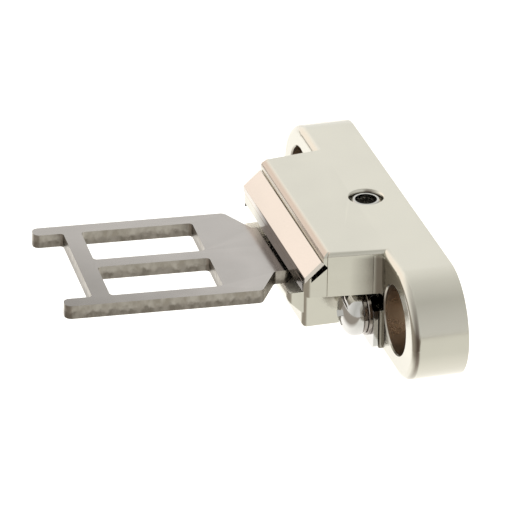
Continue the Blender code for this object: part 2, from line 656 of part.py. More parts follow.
def main():
    clear_scene()
    parts = new_collection("safety_switch_key")
    cutters = new_collection("cutters")

    housing = make_housing(parts, cutters)
    front_plate = make_front_plate(parts)
    key = make_key(parts)
    holder = make_holder(parts, cutters)
    bracket = make_bracket(parts, cutters)
    swivel_pin, swivel_washer, swivel_clip = make_swivel_pieces(parts, cutters)
    ear_y = EAR_OUTER_Y
    tilt_pin = cylinder("tilt_pin", TILT_PIN_RADIUS, (TILT_X, -ear_y, TILT_Z),
                        (TILT_X, ear_y, TILT_Z), parts)
    bevel(tilt_pin, 0.2, segments=1)
    screw_top = BAR_HEIGHT / 2 - TILT_SCREW_RECESS
    tilt_screw = make_socket_screw("tilt_screw", TILT_SCREW_RADIUS, TILT_SCREW_LENGTH, 1.44,
                                   (TILT_SCREW_X, 0, screw_top), (0, 0, -1), parts, cutters)
    locks, clamps, spring_washers, flat_washers, springs = [], [], [], [], []
    for side, word in ((-1, "near"), (1, "far")):
        locks.append(make_socket_screw("lock_screw_" + word, LOCK_SCREW_RADIUS, 4.0, 0.75,
                                       (LOCK_SCREW_X, side * LOCK_SCREW_Y, LOCK_SCREW_BOTTOM_Z), (0, 0, 1),
                                       parts, cutters))
        clamps.append(make_clamp_screw("clamp_screw_" + word, side, parts, cutters))
        spring_washers.append(make_washer("spring_washer_" + word, side, SPRING_WASHER, parts,
                                          cutters, split=True))
        flat_washers.append(make_washer("flat_washer_" + word, side, FLAT_WASHER, parts, cutters))
        springs.append(make_spring("tilt_spring_" + word, side, parts))

    finishes = [
        ("die_cast", (0.72, 0.69, 0.62), 0.32, 1.0, [housing, holder]),
        ("front_sheet", (0.80, 0.74, 0.68), 0.28, 1.0, [front_plate]),
        ("key_steel", (0.55, 0.53, 0.51), 0.25, 1.0, [key]),
        ("bright_steel", (0.70, 0.69, 0.67), 0.2, 1.0,
         [bracket, tilt_pin, swivel_pin, *clamps, *spring_washers, *flat_washers]),
        ("dark_steel", (0.12, 0.12, 0.12), 0.35, 1.0, [tilt_screw, swivel_clip, *locks]),
        ("spring_steel", (0.45, 0.45, 0.45), 0.3, 1.0, [swivel_washer, *springs]),
    ]
    for name, colour, roughness, metallic, objects in finishes:
        for obj in objects:
            obj.data.materials.clear()
            obj.data.materials.append(make_material(name + "_" + obj.name, colour, roughness, metallic))
            if obj.type == "MESH":
                smooth(obj)

    tilt_axis = make_joint_empty("tilt_axis", (TILT_X, 0, TILT_Z), parts)
    swivel_axis = make_joint_empty("swivel_axis", (SWIVEL_X, 0, 0), parts)
    tilt_screw_axis = make_joint_empty("tilt_screw_axis", (TILT_SCREW_X, 0, screw_top), parts)
    attach(tilt_axis, holder, swivel_pin, swivel_clip, swivel_axis)
    attach(swivel_axis, key, swivel_washer)
    attach(tilt_screw_axis, tilt_screw)
    for lock, side, word in zip(locks, (-1, 1), ("near", "far")):
        lock_axis = make_joint_empty("lock_axis_" + word,
                                     (LOCK_SCREW_X, side * LOCK_SCREW_Y, LOCK_SCREW_BOTTOM_Z), parts)
        attach(tilt_axis, lock_axis)
        attach(lock_axis, lock)

    for cutter in cutters.objects:
        cutter.hide_render = True
        cutter.display_type = "WIRE"


main()
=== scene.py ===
"""Looks for the adjustable actuator key of a guard-door safety switch.

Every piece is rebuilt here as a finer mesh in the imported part's own frame (metres, +Z up, the key
points along -X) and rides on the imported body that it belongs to.  Lengths below are millimetres.
"""

import math

import bmesh
import bpy
from mathutils import Matrix, Vector


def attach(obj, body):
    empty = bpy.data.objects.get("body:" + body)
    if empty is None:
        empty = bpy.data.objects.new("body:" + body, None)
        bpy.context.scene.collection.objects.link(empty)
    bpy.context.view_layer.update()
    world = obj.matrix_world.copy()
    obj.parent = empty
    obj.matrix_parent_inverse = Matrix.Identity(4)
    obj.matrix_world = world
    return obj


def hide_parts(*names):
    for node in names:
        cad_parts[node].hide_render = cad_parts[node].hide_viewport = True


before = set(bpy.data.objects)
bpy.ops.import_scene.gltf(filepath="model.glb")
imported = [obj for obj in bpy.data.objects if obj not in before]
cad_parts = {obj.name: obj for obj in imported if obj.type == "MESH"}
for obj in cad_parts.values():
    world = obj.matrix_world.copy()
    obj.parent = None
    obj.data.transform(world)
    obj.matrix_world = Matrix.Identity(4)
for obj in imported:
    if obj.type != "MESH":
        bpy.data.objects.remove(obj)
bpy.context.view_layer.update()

MM = 0.001
ROUND = 64              # sides of a turned surface

# Places that several pieces share, as in the CAD
BAR_FRONT = -8.0        # x of the bar's front face
MOUNT_Y = 22.5          # ear holes, each side of the middle
CLAMP_Y, CLAMP_Z = 13.4, -2.8
TILT_X, TILT_Z = -10.2, -3.6
TILT_SCREW_X = -5.25
SWIVEL_X = -13.5
LOCK_X, LOCK_Y = -14.5, 4.6
SPRING_X, SPRING_Y = -12.5, 7.2
BRACKET_HALF = 17.0
BRACKET_TOP, BRACKET_BOTTOM = -1.3, -7.3
SIDES = ((-1, "near"), (1, "far"))


# ---------------------------------------------------------------- mesh helpers
def link(name, mesh):
    obj = bpy.data.objects.new(name, mesh)
    bpy.context.scene.collection.objects.link(obj)
    return obj


def from_bmesh(name, bm):
    bmesh.ops.recalc_face_normals(bm, faces=bm.faces)
    mesh = bpy.data.meshes.new(name)
    bm.to_mesh(mesh)
    bm.free()
    return link(name, mesh)


def apply_modifiers(obj):
    """Bake the modifiers so far into the mesh, which is then in world coordinates."""
    bpy.context.view_layer.update()
    mesh = bpy.data.meshes.new_from_object(obj.evaluated_get(bpy.context.evaluated_depsgraph_get()))
    mesh.transform(obj.matrix_world)
    obj.modifiers.clear()
    if obj.type == "MESH":
        obj.data = mesh
        obj.matrix_world = Matrix.Identity(4)
        return obj
    solid = link(obj.name, mesh)
    bpy.data.objects.remove(obj, do_unlink=True)
    return solid


def rounded(corners, segments=8):
    """Closed outline through corners (a, b, radius), each one rounded by an arc."""
    points = []
    for index, (a, b, radius) in enumerate(corners):
        corner = Vector((a, b))
        if radius <= 0:
            points.append(tuple(corner))
            continue
        back = (Vector(corners[index - 1][:2]) - corner).normalized()
        ahead = (Vector(corners[(index + 1) % len(corners)][:2]) - corner).normalized()
        half = back.angle(ahead) / 2
        centre = corner + (back + ahead).normalized() * (radius / math.sin(half))
        setback = radius / math.tan(half)
        first = corner + back * setback - centre
        last = corner + ahead * setback - centre
        start = math.atan2(first.y, first.x)
        sweep = math.atan2(last.y, last.x) - start
        sweep = (sweep + math.pi) % (2 * math.pi) - math.pi
        for step in range(segments + 1):
            angle = start + sweep * step / segments
            points.append((centre.x + radius * math.cos(angle), centre.y + radius * math.sin(angle)))
    return points


def circle(a, b, radius, segments=ROUND):
    turn = 2 * math.pi / segments
    return [(a + radius * math.cos(turn * i), b + radius * math.sin(turn * i)) for i in range(segments)]


AXES = {
    "X": ((0, 1, 0), (0, 0, 1), (1, 0, 0)),
    "Y": ((1, 0, 0), (0, 0, 1), (0, -1, 0)),
    "Z": ((1, 0, 0), (0, 1, 0), (0, 0, 1)),
}


def extrude(name, outlines, axis, low, high):
    """Solid from flat outlines (the first outside, the others holes) between low and high."""
    curve = bpy.data.curves.new(name, "CURVE")
    curve.dimensions = "2D"
    curve.fill_mode = "BOTH"
    curve.extrude = (high - low) / 2 * MM
    for outline in outlines:
        spline = curve.splines.new("POLY")
        spline.points.add(len(outline) - 1)
        for point, (a, b) in zip(spline.points, outline):
            point.co = (a * MM, b * MM, 0, 1)
        spline.use_cyclic_u = True
    flat = bpy.data.objects.new(name, curve)
    bpy.context.scene.collection.objects.link(flat)
    bpy.context.view_layer.update()
    mesh = bpy.data.meshes.new_from_object(flat.evaluated_get(bpy.context.evaluated_depsgraph_get()))
    bpy.data.objects.remove(flat, do_unlink=True)
    across, up, along = (Vector(v) for v in AXES[axis])
    turn = Matrix((across, up, along)).transposed().to_4x4()
    middle = (low + high) / 2 * MM * (-1 if axis == "Y" else 1)
    bm = bmesh.new()
    bm.from_mesh(mesh)
    bpy.data.meshes.remove(mesh)
    bmesh.ops.remove_doubles(bm, verts=bm.verts, dist=0.000001)
    bmesh.ops.transform(bm, matrix=turn @ Matrix.Translation((0, 0, middle)), verts=bm.verts)
    bmesh.ops.recalc_face_normals(bm, faces=bm.faces)
    bmesh.ops.dissolve_limit(bm, angle_limit=0.001, verts=bm.verts, edges=bm.edges)
    return from_bmesh(name, bm)


def box(name, low, high):
    bm = bmesh.new()
    bmesh.ops.create_cube(bm, size=1.0)
    for vert in bm.verts:
        for i in range(3):
            vert.co[i] = (low[i] if vert.co[i] < 0 else high[i]) * MM
    return from_bmesh(name, bm)


def lathe(name, profile, origin, direction, segments=ROUND):
    """Turn a profile of (radius, height) about an axis; a profile off the axis closes on itself."""
    bm = bmesh.new()
    rings = []
    for radius, height in profile:
        if radius <= 0:
            rings.append([bm.verts.new((0, 0, height * MM))])
            continue
        ring = []
        for i in range(segments):
            angle = 2 * math.pi * i / segments
            a, b = radius * math.cos(angle), radius * math.sin(angle)
            ring.append(bm.verts.new((a * MM, b * MM, height * MM)))
        rings.append(ring)
    pairs = list(zip(rings, rings[1:]))
    if profile[0][0] > 0:
        pairs.append((rings[-1], rings[0]))
    for upper, lower in pairs:
        for i in range(segments):
            j = (i + 1) % segments
            corners = [upper[i % len(upper)], upper[j % len(upper)],
                       lower[j % len(lower)], lower[i % len(lower)]]
            face = []
            for corner in corners:
                if corner not in face:
                    face.append(corner)
            if len(face) > 2:
                bm.faces.new(face)
    turn = Vector(direction).to_track_quat("Z", "Y").to_matrix().to_4x4()
    bmesh.ops.transform(bm, matrix=Matrix.Translation(Vector(origin) * MM) @ turn, verts=bm.verts)
    return from_bmesh(name, bm)


def boolean(obj, operation, others):
    for other in others:
        modifier = obj.modifiers.new(operation, "BOOLEAN")
        modifier.operation = operation
        modifier.object = other
        modifier.solver = "EXACT"
    apply_modifiers(obj)
    for other in others:
        bpy.data.objects.remove(other, do_unlink=True)
    return obj


def cut(obj, *others):
    return boolean(obj, "DIFFERENCE", others)


def join(obj, *others):
    return boolean(obj, "UNION", others)


def bevel(obj, width, segments=3, degrees=30, share=None):
    """Round the sharp edges, or each edge by the share of the width that its two ends give."""
    modifier = obj.modifiers.new("Bevel", "BEVEL")
    modifier.width = width * MM
    modifier.segments = segments
    modifier.limit_method = "ANGLE"
    modifier.angle_limit = math.radians(degrees)
    if share:
        modifier.limit_method = "WEIGHT"
        mesh = obj.data
        weights = mesh.attributes.new("bevel_weight_edge", "FLOAT", "EDGE")
        for edge in mesh.edges:
            weights.data[edge.index].value = share(*(mesh.vertices[index].co / MM for index in edge.vertices))
    apply_modifiers(obj)
    spent = obj.data.attributes.get("bevel_weight_edge")
    if spent:
        obj.data.attributes.remove(spent)
    return obj


def shade(obj, degrees=32):
    """Smooth the rounds, and give every vertex on a large flat face that face's own normal."""
    mesh = obj.data
    mesh.shade_smooth()
    mesh.set_sharp_from_angle(angle=math.radians(degrees))
    limit = math.cos(math.radians(degrees))
    broadest = {}
    for face in mesh.polygons:
        for index in face.vertices:
            broadest.setdefault(index, []).append(face)
    normals = []
    for face in mesh.polygons:
        for index in face.vertices:
            near = [other for other in broadest[index] if other.normal.dot(face.normal) > limit]
            largest = max(near, key=lambda other: other.area)
            if largest.area > 6 * face.area or largest is face:
                normals.append(largest.normal.copy())
            else:
                total = Vector((0, 0, 0))
                for other in near:
                    total += other.normal * other.area
                normals.append(total.normalized())
    mesh.normals_split_custom_set([tuple(n) for n in normals])


# ---------------------------------------------------------------- materials
class Nodes:
    """Shader nodes of one material, wired with short calls."""

    def __init__(self, name):
        self.material = bpy.data.materials.new(name)
        self.material.use_nodes = True
        self.tree = self.material.node_tree
        self.shader = self.tree.nodes["Principled BSDF"]
        self.place = self.add("ShaderNodeTexCoord").outputs["Object"]

    def add(self, kind, **values):
        node = self.tree.nodes.new(kind)
        for key, value in values.items():
            setattr(node, key, value)
        return node

    def wire(self, output, socket):
        self.tree.links.new(output, socket)

    def split(self, output):
        """The X, Y and Z of a vector."""
        node = self.add("ShaderNodeSeparateXYZ")
        self.wire(output, node.inputs["Vector"])
        return node.outputs

    def facing(self):
        """The X, Y and Z of the surface's normal, in the object's own axes."""
        return self.split(self.add("ShaderNodeTexCoord").outputs["Normal"])

    def stretched(self, scale):
        mapping = self.add("ShaderNodeMapping")
        mapping.inputs["Scale"].default_value = scale
        self.wire(self.place, mapping.inputs["Vector"])
        return mapping.outputs["Vector"]

    def noise(self, scale, detail=3.0, stretch=(1, 1, 1)):
        node = self.add("ShaderNodeTexNoise")
        node.inputs["Scale"].default_value = scale
        node.inputs["Detail"].default_value = detail
        self.wire(self.stretched(stretch), node.inputs["Vector"])
        return node.outputs["Fac"]

    def ramp(self, value, low, high, start=0.3, end=0.7):
        """Map value from start..end to low..high."""
        node = self.add("ShaderNodeMapRange")
        node.inputs["From Min"].default_value = start
        node.inputs["From Max"].default_value = end
        node.inputs["To Min"].default_value = low
        node.inputs["To Max"].default_value = high
        self.wire(value, node.inputs["Value"])
        return node.outputs["Result"]

    def mix(self, factor, a, b):
        node = self.add("ShaderNodeMix", data_type="RGBA")
        for socket, value in ((node.inputs[6], a), (node.inputs[7], b)):
            if isinstance(value, tuple):
                socket.default_value = (*value, 1)
            else:
                self.wire(value, socket)
        self.wire(factor, node.inputs[0])
        return node.outputs[2]

    def bump(self, height, strength, distance):
        node = self.add("ShaderNodeBump")
        node.inputs["Strength"].default_value = strength
        node.inputs["Distance"].default_value = distance
        self.wire(height, node.inputs["Height"])
        return node.outputs["Normal"]

    def math(self, operation, a, b):
        node = self.add("ShaderNodeMath", operation=operation)
        for socket, value in zip(node.inputs, (a, b)):
            if isinstance(value, (int, float)):
                socket.default_value = value
            else:
                self.wire(value, socket)
        return node.outputs["Value"]

    def product(self, share, *others):
        for other in others:
            share = self.math("MULTIPLY", share, other)
        return share

    def size_of(self, value):
        return self.math("ABSOLUTE", value, 0)


def metal(name, colour, shade_to, roughness, grain, grain_bump, stretch=(1, 1, 1)):
    """Plated or bare metal: cloudy colour, fine grain in roughness and bump, brighter worn edges."""
    n = Nodes(name)
    cloud = n.noise(150, 2)
    tone = n.mix(n.ramp(cloud, 0, 1), colour, shade_to)
    edge = n.ramp(n.add("ShaderNodeNewGeometry").outputs["Pointiness"], 0, 0.25, 0.53, 0.62)
    bright = tuple(min(1.0, c * 1.12) for c in colour)
    n.colour = n.mix(edge, tone, bright)
    n.wire(n.colour, n.shader.inputs["Base Color"])
    fine = n.noise(grain, 4, stretch)
    smears = n.noise(300, 2, (1, 1, 2.5))
    n.rough = n.math("ADD", n.ramp(fine, roughness * 0.9, roughness * 1.1), n.ramp(smears, -0.02, 0.03))
    n.wire(n.rough, n.shader.inputs["Roughness"])
    n.wire(n.bump(fine, grain_bump, 0.00002), n.shader.inputs["Normal"])
    n.shader.inputs["Metallic"].default_value = 1.0
    return n


def painted_dark_key_sides(n):
    """Sides of the blank painted dark brown with blotchy tone, as painted reflection of the dark
    surroundings: a paler upper band over a darker lower band.
    """
    side = n.ramp(n.size_of(n.facing()["Z"]), 1, 0, 0.45, 0.8)
    wander = n.ramp(n.noise(900, 3), -0.0004, 0.0004)
    lower_band = n.ramp(n.math("ADD", n.split(n.place)["Z"], wander), 1, 0, -0.0003, 0.0002)
    blotch = n.ramp(n.noise(1100, 4, (1, 1, 0.5)), 0, 1, 0.35, 0.65)
    # painted reflection: the dark side colours stand in for the dark surroundings that the sides mirror
    upper_side_tone = n.mix(blotch, (0.43, 0.40, 0.36), (0.31, 0.28, 0.24))
    lower_side_tone = n.mix(blotch, (0.18, 0.16, 0.135), (0.29, 0.265, 0.235))
    n.wire(n.mix(side, n.colour, n.mix(lower_band, upper_side_tone, lower_side_tone)), n.shader.inputs["Base Color"])
    n.wire(n.math("ADD", n.rough, n.math("MULTIPLY", side, 0.16)), n.shader.inputs["Roughness"])


def darker_to_tips(n):
    """The blank's top gets darker and browner from its root to the fork tips, most on the near rail."""
    place = n.split(n.place)
    wander = n.math("ADD", place["X"], n.ramp(n.noise(120, 3), -0.004, 0.004))
    near = n.ramp(place["Y"], 1, 0.25, -0.011, 0.009)
    tip_darkening = n.product(n.ramp(wander, 1, 0, -0.040, -0.012), near)
    n.colour = n.mix(tip_darkening, n.colour, (0.20, 0.185, 0.172))


def rough_painted_light_top(n):
    """Rougher upward faces, painted paler as painted light where they lie in the shade under the hood and the
    key.
    """
    upward = n.ramp(n.facing()["Z"], 0, 1, 0.75, 0.9)
    n.wire(n.mix(upward, n.colour, (0.93, 0.89, 0.81)), n.shader.inputs["Base Color"])
    n.wire(n.math("ADD", n.rough, n.math("MULTIPLY", upward, 0.45)), n.shader.inputs["Roughness"])


def painted_shade_behind(n, x):
    """Steel behind x painted near black, as painted shade where the screw's shank is in the dark of its hole.
    """
    behind = n.ramp(n.split(n.place)["X"], 0, 1, x, x + 0.0001)
    n.wire(n.mix(behind, n.colour, (0.03, 0.026, 0.022)), n.shader.inputs["Base Color"])


def painted_shade_front(n):
    """Darker, browner colour on the upright front face over the key, as painted reflection of the dark key
    beneath it.
    """
    place = n.split(n.place)
    front = n.product(n.ramp(place["X"], 1, 0, -0.01876, -0.01870), n.ramp(place["Y"], 1, 0, 0.004, 0.0095))
    front_shade = n.mix(n.ramp(n.noise(420, 3, (1, 1, 0.4)), 0, 1), (0.10, 0.078, 0.064), (0.065, 0.05, 0.041))
    n.wire(n.mix(front, n.colour, front_shade), n.shader.inputs["Base Color"])


def brown_bores(n, place, sideways):
    """Stained metal in the two counterbores and their clearance holes; returns their share."""
    across = n.math("SUBTRACT", sideways, MOUNT_Y * MM)
    square = n.math("ADD", n.product(across, across), n.product(place["Z"], place["Z"]))
    bore = n.product(n.ramp(square, 1, 0, 0.0000238, 0.0000246), n.ramp(place["X"], 0, 1, -0.00795, -0.0075),
                     n.ramp(place["X"], 1, 0, -0.0006, -0.0002))
    stain = n.mix(n.ramp(n.noise(260, 3), 0, 1), (0.57, 0.46, 0.36), (0.50, 0.40, 0.31))
    n.colour = n.mix(bore, n.colour, stain)
    return bore


def painted_shade_corners(n, place, sideways):
    """Painted shade: darker metal colour in the inside corners between the hood's sides and the bar."""
    wander = n.math("ADD", sideways, n.ramp(n.noise(260, 3), -0.0002, 0.0002))
    corner = n.product(n.ramp(wander, 0, 1, 0.0148, 0.0151), n.ramp(sideways, 0.72, 0, 0.0169, 0.0176),
                       n.ramp(place["X"], 0, 1, -0.0125, -0.0096), n.ramp(place["X"], 1, 0, -0.0078, -0.0072),
                       n.ramp(place["Z"], 1, 0, 0.0066, 0.0072))
    n.colour = n.mix(corner, n.colour, (0.20, 0.18, 0.15))


def painted_reflection_rounds(n, place, normal):
    """Painted reflection: brown along the round of each ear's face; painted shade: a lighter brown along the
    hood's front top edge.
    """
    ear_round_reflection = n.product(n.ramp(normal["X"], 0, 0.85, -0.85, -0.50), n.ramp(normal["X"], 1, 0, -0.28, -0.08),
                          n.ramp(n.size_of(normal["Y"]), 0, 1, 0.15, 0.40),
                          n.ramp(n.size_of(normal["Z"]), 1, 0.25, 0.25, 0.75),
                          n.ramp(place["X"], 0, 1, -0.0082, -0.0080))
    n.colour = n.mix(ear_round_reflection, n.colour, (0.13, 0.095, 0.075))
    lip_round_shade = n.product(n.ramp(normal["X"], 0.8, 0, -0.60, -0.15), n.ramp(place["Z"], 0, 1, 0.0067, 0.0071),
                          n.ramp(place["X"], 1, 0, -0.0150, -0.0146))
    n.colour = n.mix(lip_round_shade, n.colour, (0.44, 0.37, 0.32))


def stained_and_shaded_casting(n):
    """The housing's stains, and its painted shade and reflections, over the plated metal."""
    place, normal = n.split(n.place), n.facing()
    sideways = n.size_of(place["Y"])
    bore = brown_bores(n, place, sideways)
    painted_shade_corners(n, place, sideways)
    painted_reflection_rounds(n, place, normal)
    painted_shade_front(n)
    n.wire(n.math("ADD", n.rough, n.math("MULTIPLY", bore, 0.15)), n.shader.inputs["Roughness"])


def make_materials():
    """One look for each of the CAD's material slots, and three for pieces that differ from their slot."""
    plated, plated_shade = (0.62, 0.60, 0.53), (0.60, 0.58, 0.515)
    bright, bright_shade = (0.66, 0.65, 0.63), (0.58, 0.57, 0.56)
    looks = {
        "die_cast": metal("nickel_plated_casting", plated, plated_shade, 0.17, 4200, 0.03),
        "holder": metal("nickel_plated_holder", plated, plated_shade, 0.15, 4200, 0.03),
        "front_sheet": metal("front_sheet_steel", (0.62, 0.575, 0.53), (0.60, 0.56, 0.515), 0.16, 3600, 0.03,
                             (0.15, 1, 0.15)),
        "key_steel": metal("key_stainless", (0.43, 0.405, 0.39), (0.40, 0.38, 0.365), 0.17, 3400, 0.05,
                           (0.08, 1, 1)),
        "bright_steel": metal("bright_zinc_steel", bright, bright_shade, 0.10, 3000, 0.03),
        "dark_steel": metal("socket_screw_steel", (0.52, 0.51, 0.48), (0.42, 0.41, 0.39), 0.13, 3000, 0.05),
        "screw": metal("screw_steel", bright, bright_shade, 0.09, 3000, 0.03),
        "ring": metal("washer_steel", (0.40, 0.37, 0.34), (0.30, 0.27, 0.25), 0.12, 3000, 0.04),
        "spring_steel": metal("spring_wire_steel", (0.42, 0.41, 0.40), (0.33, 0.33, 0.33), 0.22, 2600, 0.06),
    }
    stained_and_shaded_casting(looks["die_cast"])
    rough_painted_light_top(looks["holder"])
    painted_shade_front(looks["front_sheet"])
    darker_to_tips(looks["key_steel"])
    painted_dark_key_sides(looks["key_steel"])
    painted_shade_behind(looks["screw"], -0.0104)
    return {name: look.material for name, look in looks.items()}


MATERIALS = make_materials()


def finish_piece(obj, body, slot, *nodes, look=None):
    """Give a piece its look (its slot's own, unless another look is given) and its body, in place of the CAD
    nodes that it stands for.
    """
    obj.data.materials.clear()
    obj.data.materials.append(MATERIALS[look or slot])
    shade(obj)
    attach(obj, body)
    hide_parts(*nodes)
    return obj


# ---------------------------------------------------------------- housing and front plate
BAR_HALF = 31.0
TOP = 7.8               # half of the bar's height
HOOD_FRONT = -18.8
HOOD_FRONT_TOP = -16.15
HOOD_STEP = -15.6       # the wedge in front of this is a little narrower
HOOD_BOTTOM = 1.1
SLOPE = math.radians(42.5)
UP_SLOPE = Vector((math.cos(SLOPE), math.sin(SLOPE)))       # in X and Z
OUT_SLOPE = Vector((-math.sin(SLOPE), math.cos(SLOPE)))
PLATE_THICK = 0.65
PLATE_HALF = 14.85
PLATE_FOOT = Vector((HOOD_FRONT, 4.1))
PLATE_TOP = PLATE_FOOT + UP_SLOPE * 3.35
SEAT_DEPTH = 1.2        # hood surface under the plate, from the plate's outer face
SEAT_LIP = 1.0          # raised strip of the seat at the front


def slope_point(x, depth):
    """Point at x, depth below the plate's outer face."""
    start = PLATE_FOOT - OUT_SLOPE * depth
    return (x, start.y + (x - start.x) * math.tan(SLOPE))


def hood_half_width(x):
    """The hood widens a little towards the bar."""
    return 15.4 + 0.115 * (x + 16.1)


def tapered_prism(name, profile, inset):
    """Solid with an (x, z) profile whose two sides follow the hood's tapered plan."""
    bm = bmesh.new()
    rings = []
    for side in (-1, 1):
        ring = [bm.verts.new((x * MM, side * (hood_half_width(x) - inset) * MM, z * MM)) for x, z in profile]
        bm.faces.new(ring)
        rings.append(ring)
    count = len(profile)
    for i in range(count):
        j = (i + 1) % count
        bm.faces.new((rings[0][i], rings[0][j], rings[1][j], rings[1][i]))
    return from_bmesh(name, bm)


def threaded_bore(name, radius, origin, direction, length, pitch, mouth):
    """Cutter for a tapped hole: a countersunk mouth, then shallow thread grooves."""
    groove = 0.12
    profile = [(0, 2), (radius + mouth + 0.3, 2), (radius + mouth + 0.3, 0.3), (radius + mouth, 0),
               (radius, -mouth)]
    height = -mouth
    while height - pitch > -length:
        profile += [(radius - groove, height - pitch * 0.25), (radius - groove, height - pitch * 0.5),
                    (radius, height - pitch * 0.75), (radius, height - pitch)]
        height -= pitch
    profile += [(radius, -length), (0, -length)]
    return lathe(name, profile, origin, direction)


def make_hood():
    """Hollow block, with a slightly narrower wedge in front of it that carries the front plate."""
    def on_top(a, b):
        return float(a.z > TOP - 0.01 and b.z > TOP - 0.01)

    def wedge_share(a, b):
        """Full rounding on the upright front corners and the top's front edge, less along its sides."""
        along_x = abs(a.x - b.x) > 0.01
        if not along_x and abs(a.y - b.y) < 0.01 and a.x < HOOD_FRONT + 0.01:
            return 1.0
        return on_top(a, b) * (0.7 if along_x else 1.0)

    root, wedge_root = -6, HOOD_STEP + 3
    block = tapered_prism("hood_block", [
        (root, TOP), (HOOD_STEP, TOP), (HOOD_STEP, HOOD_BOTTOM), (root, HOOD_BOTTOM)], 0)
    bevel(block, 0.6, 6, share=on_top)
    seat = PLATE_TOP + UP_SLOPE * 0.05 - OUT_SLOPE * SEAT_DEPTH
    lip_rise = (seat.x - HOOD_FRONT_TOP) / math.tan(SLOPE)
    lip_x, lip_depth = HOOD_FRONT + SEAT_LIP, PLATE_THICK + 0.02
    wedge_bottom = HOOD_BOTTOM - 0.05
    wedge = tapered_prism("hood_wedge", [
        (wedge_root, TOP), (HOOD_FRONT_TOP, TOP), (HOOD_FRONT_TOP, seat.y + lip_rise), tuple(seat),
        slope_point(lip_x, SEAT_DEPTH), slope_point(lip_x, lip_depth), slope_point(HOOD_FRONT, lip_depth),
        (HOOD_FRONT, wedge_bottom), (wedge_root, wedge_bottom)], 0.2)
    bevel(wedge, 0.95, 8, share=wedge_share)
    join(block, wedge)
    space = [(-7.9, -0.4), (-7.9, 5.6), (-14.0, 5.6), (-17.6, 2.3), (-17.6, -0.4)]
    cut(block, extrude("hood_space", [space], "Y", -13.6, 13.6),
        box("key_notch", (-19, -14.4, -0.4), (-17.5, 14.4, 1.8)))
    return bevel(block, 0.12, 2, 50)


def make_corner_fillets():
    """One solid on each side of the hood, with the hollow round where the hood meets the bar."""
    reach = 1.25
    fillets = []
    for side in (-1, 1):
        edge = side * hood_half_width(BAR_FRONT)
        arc = [(BAR_FRONT - reach + reach * math.sin(a), edge + side * (reach - 0.12 - reach * math.cos(a)))
               for a in [math.radians(9 * i) for i in range(11)]]
        corner = [*arc, (-7.5, arc[-1][1]), (-7.5, edge - side), (BAR_FRONT - reach, edge - side)]
        fillets.append(extrude("corner_fillet", [corner], "Z", 1.12, 7.0))
    return fillets


def make_housing():
    """Bar with an ear at each end, the hood, the pad behind the bracket and all the holes."""
    outline = rounded([(-BAR_HALF, -TOP, 7.0), (BAR_HALF, -TOP, 7.0), (BAR_HALF, TOP, 8.5),
                       (-BAR_HALF, TOP, 8.5)], 18)
    housing = extrude("housing_body", [outline], "X", BAR_FRONT, 0)
    face = BAR_FRONT + 0.01
    bevel(housing, 1.1, 8, share=lambda a, b: float(a.x < face and b.x < face))
    pad = box("bracket_pad", (-8.45, -BRACKET_HALF, BRACKET_BOTTOM), (-7, BRACKET_HALF, BRACKET_TOP))
    bevel(pad, 0.25, 3)
    join(housing, make_hood(), pad, *make_corner_fillets())

    cutters = [box("bracket_relief", (-8.5, -17.05, -1.2), (-4.2, 17.05, 1.25)),
               box("tail_pocket", (-9, -4.7, -4.8), (-2.2, 4.7, 0.6)),
               threaded_bore("tilt_bore", 2.45, (TILT_SCREW_X, 0, TOP), (0, 0, 1), 7.6, 0.8, 0.1)]
    head, hole, depth = 4.9, 3.1, 5.2       # the mounting screw's counterbore and its clearance hole
    for side in (-1, 1):
        cutters.append(lathe("counterbore", [
            (0, 2), (head + 0.5, 2), (head + 0.5, 0.1), (head + 0.15, 0), (head, -0.2), (head, -depth),
            (hole + 0.2, -depth), (hole, -depth - 0.2), (hole, -7.8), (hole + 0.3, -8.1), (hole + 0.3, -9),
            (0, -9)], (BAR_FRONT, side * MOUNT_Y, 0), (-1, 0, 0)))
        cutters.append(lathe("clamp_bore", [(0, 1), (2.3, 1), (2.3, -4.9), (0, -6.0)],
                             (BAR_FRONT, side * CLAMP_Y, CLAMP_Z), (-1, 0, 0), 32))
    cut(housing, *cutters)
    return finish_piece(housing, "base", "die_cast", "housing")


def make_front_plate():
    """Thin sheet that lies on the hood's sloping front."""
    profile = rounded([(*PLATE_TOP, 0.12), (*PLATE_FOOT, 0.12), (*slope_point(HOOD_FRONT, PLATE_THICK), 0.05),
                       (*(PLATE_TOP - OUT_SLOPE * PLATE_THICK), 0.1)], 6)
    plate = extrude("front_plate_sheet", [profile], "Y", -PLATE_HALF, PLATE_HALF)

    def end_share(a, b):
        """Only the outer edge of each end, which runs from the foot to the top of the slope."""
        across_end = a.y * b.y > 0 and abs(a.y - b.y) < 0.01 and (a - b).length > 2
        outer = min(a.z, b.z) > PLATE_FOOT.y - 0.41 and max(a.z, b.z) > PLATE_TOP.y - 0.5
        return float(across_end and outer)

    bevel(plate, 0.3, 5, share=end_share)
    return finish_piece(plate, "base", "front_sheet", "front_plate")


# ---------------------------------------------------------------- key, holder and swivel
KEY_YAW = math.radians(3.1)
KEY_PITCH = math.radians(0.97)
KEY_MIDDLE_Z = 0.17     # mid-thickness at the swivel axis


